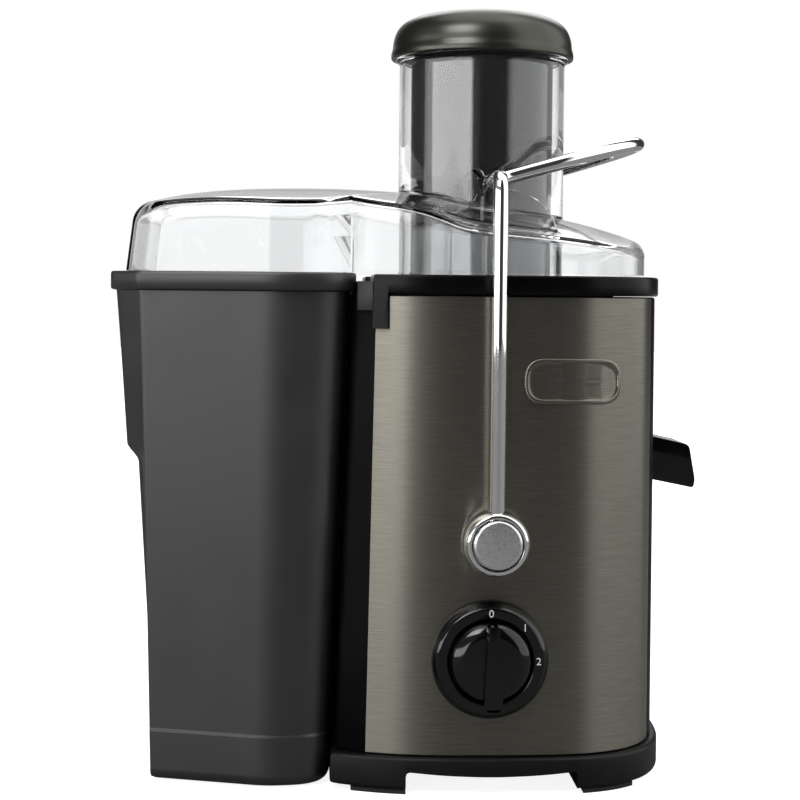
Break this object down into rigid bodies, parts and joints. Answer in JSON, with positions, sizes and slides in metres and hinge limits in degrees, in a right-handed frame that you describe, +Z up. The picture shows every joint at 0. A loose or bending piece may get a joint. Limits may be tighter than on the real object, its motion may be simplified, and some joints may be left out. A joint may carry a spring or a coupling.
{
  "type": "centrifugal juicer",
  "caption": "Upright centrifugal juicer with a brushed metal front, a clear lid and feed chute, a chrome locking bail, a control knob and a side pulp bin.",
  "frame": {"origin": "on the ground, under the middle of the whole object's outline", "axes": "+Z up, +X to the right of someone facing the control knob, +Y away from them"},
  "size_m": [0.277, 0.2238, 0.3553],
  "materials": {
    "black_plastic": "moulded, fine satin grain",
    "gloss_black": "polished moulding",
    "bin_plastic": "moulded, soft satin",
    "grey_plastic": "moulded satin",
    "brushed_panel": "horizontal brush lines, warm gunmetal tint",
    "chrome": "mirror polished",
    "satin_metal": "satin disc",
    "bronze_cap": "metallic bronze-grey paint, satin",
    "smoked_pusher": "polished metallic grey",
    "clear_plastic": "clear polished plastic",
    "rubber": "matt",
    "steel": "bright turned steel",
    "copper": "lacquered winding wire",
    "laminations": "stacked sheet edges"
  },
  "bodies": {
    "base": {"base_frame": "black_plastic", "rubber_foot_1": "rubber", "rubber_foot_2": "rubber", "rubber_foot_3": "rubber", "rubber_foot_4": "rubber", "base_screw_1": "steel", "base_screw_2": "steel", "base_screw_3": "steel", "base_screw_4": "steel", "motor_housing": "black_plastic", "front_panel": "brushed_panel", "badge_plate": "brushed_panel", "top_collar": "gloss_black", "pulp_apron": "grey_plastic", "juice_bowl": "grey_plastic", "bowl_seal": "rubber", "juice_spout": "gloss_black", "spout_escutcheon": "gloss_black", "clear_lid": "clear_plastic", "feed_chute": "clear_plastic", "knob_bezel": "gloss_black", "rotary_switch": "grey_plastic", "interlock_switch": "grey_plastic", "inlet_gland": "rubber", "pivot_pin_front": "steel", "pivot_pin_rear": "steel", "motor_stator": "laminations", "field_coil_front": "copper", "field_coil_rear": "copper", "upper_motor_bracket": "steel", "lower_motor_bracket": "steel", "upper_bearing": "steel", "lower_bearing": "steel", "motor_bolt_left": "steel", "motor_bolt_right": "steel", "brush_holder_left": "black_plastic", "brush_holder_right": "black_plastic", "motor_bush_1": "rubber", "motor_bush_2": "rubber", "motor_bush_3": "rubber", "motor_bush_4": "rubber"},
    "rotor": {"motor_shaft": "steel", "armature_core": "laminations", "commutator": "copper", "armature_winding": "copper", "cooling_fan": "black_plastic", "drive_coupling": "grey_plastic", "filter_basket": "steel", "grater_disc": "steel", "basket_rim": "grey_plastic"},
    "bail": {"bail_rod": "chrome", "bail_hub_front": "chrome", "bail_hub_rear": "chrome", "hub_cap_front": "satin_metal", "hub_cap_rear": "satin_metal"},
    "knob": {"control_knob": "gloss_black", "knob_shaft": "steel"},
    "pusher": {"pusher_body": "smoked_pusher", "pusher_cap": "bronze_cap"},
    "bin": {"pulp_bin": "bin_plastic"}
  },
  "joints": [
    {"name": "basket_spin", "type": "hinge", "parent": "base", "child": "rotor", "pos_m": [0.0333, 0.0011, 0.15], "axis": [0, 0, 1], "continuous": true},
    {"name": "bail_swing", "type": "hinge", "parent": "base", "child": "bail", "pos_m": [0.0333, 0.0011, 0.1124], "axis": [0, 1, 0], "range_deg": [0, 100]},
    {"name": "knob_turn", "type": "hinge", "parent": "base", "child": "knob", "pos_m": [0.0318, -0.0889, 0.06], "axis": [0, 1, 0], "range_deg": [0, 90]},
    {"name": "pusher_slide", "type": "slide", "parent": "base", "child": "pusher", "axis": [0, 0, 1], "range_m": [0, 0.18]},
    {"name": "bin_slide", "type": "slide", "parent": "base", "child": "bin", "axis": [-1, 0, 0], "range_m": [0, 0.15]}
  ]
}
